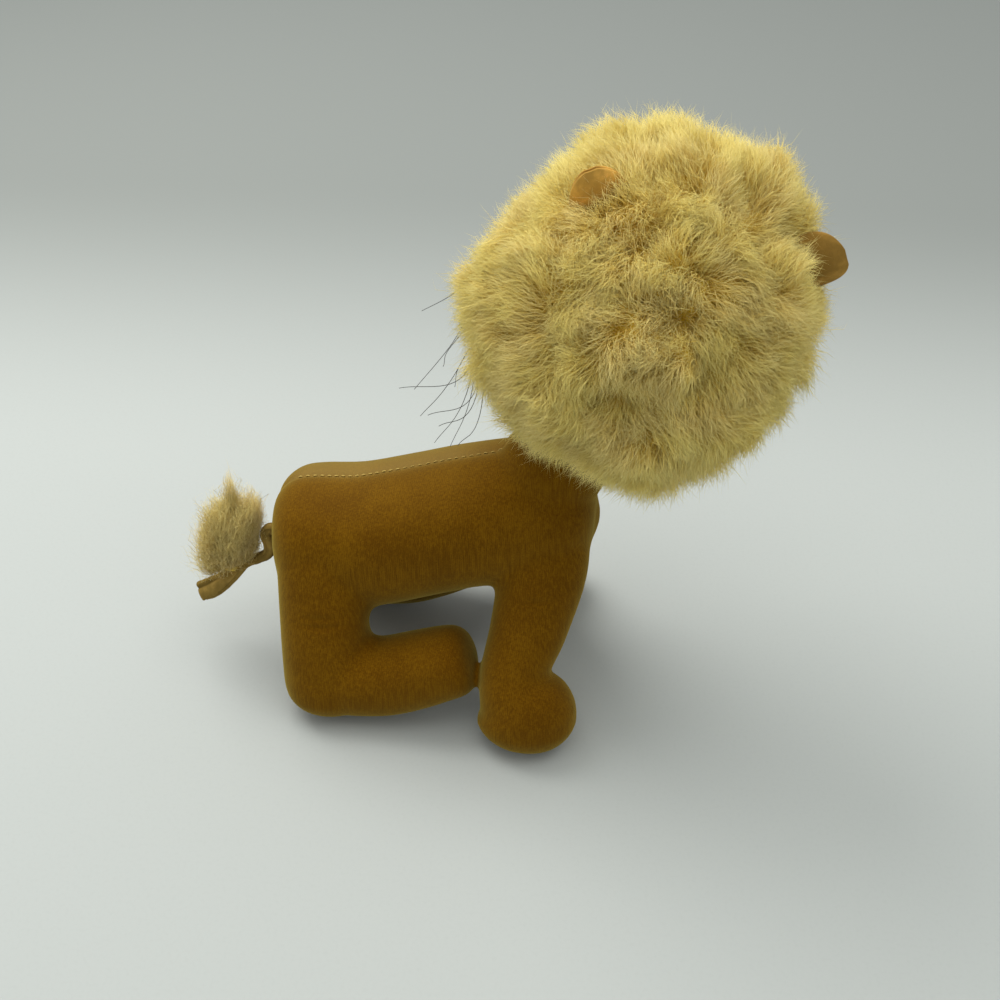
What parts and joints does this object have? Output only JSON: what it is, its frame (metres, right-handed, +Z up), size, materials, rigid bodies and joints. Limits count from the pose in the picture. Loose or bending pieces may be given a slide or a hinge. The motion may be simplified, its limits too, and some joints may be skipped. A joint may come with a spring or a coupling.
{
  "type": "plush lion",
  "caption": "Small stuffed lion in brown velveteen with a fluffy straw-coloured mane, splayed front legs, long hind feet, a head that turns on a neck joint and a tail with a tuft.",
  "frame": {"origin": "on the ground, under the centre of the whole toy's box with the head turned as stored", "axes": "+X is the way the body faces, +Y is its left side, +Z is up"},
  "size_m": [0.1692, 0.0858, 0.1698],
  "materials": {
    "velveteen": "short brown pile with a fine rib",
    "mohair": "long brushed straw-coloured pile",
    "ear_cloth": "short orange-brown pile",
    "wood_wool": "firmly packed shavings",
    "soft_stuffing": "loose cotton wad",
    "hardboard": "pressed board",
    "steel": "plain wire and washers",
    "eye_bead": "polished near-black",
    "nose_thread": "satin-stitched floss",
    "whisker_thread": "stiff waxed thread"
  },
  "bodies": {
    "torso": {"torso_cover": "velveteen", "torso_filling": "wood_wool", "front_leg_cover_left": "velveteen", "front_leg_filling_left": "wood_wool", "hind_leg_cover_left": "velveteen", "hind_leg_filling_left": "wood_wool", "hind_foot_cover_left": "velveteen", "hind_foot_filling_left": "wood_wool", "front_leg_cover_right": "velveteen", "front_leg_filling_right": "wood_wool", "hind_leg_cover_right": "velveteen", "hind_leg_filling_right": "wood_wool", "hind_foot_cover_right": "velveteen", "hind_foot_filling_right": "wood_wool", "neck_disc_lower": "hardboard", "neck_washer_lower": "steel", "neck_cotter_pin": "steel"},
    "head": {"head_cover": "velveteen", "head_filling": "soft_stuffing", "neck_disc_upper": "hardboard", "neck_washer_upper": "steel", "mane": "mohair", "muzzle": "velveteen", "nose": "nose_thread", "eye_left": "eye_bead", "ear_back_left": "velveteen", "ear_lining_left": "ear_cloth", "whiskers_left": "whisker_thread", "eye_right": "eye_bead", "ear_back_right": "velveteen", "ear_lining_right": "ear_cloth", "whiskers_right": "whisker_thread"},
    "tail": {"tail_strip": "velveteen", "tail_tuft": "mohair"}
  },
  "joints": [
    {"name": "head_swivel", "type": "hinge", "parent": "torso", "child": "head", "pos_m": [0.02823, 0.00121, 0.09616], "axis": [0.3584, 0, 0.9336], "continuous": true},
    {"name": "tail_wag", "type": "hinge", "parent": "torso", "child": "tail", "pos_m": [-0.06207, 0.00121, 0.048], "axis": [0, 0, 1], "range_deg": [-40, 40]}
  ]
}
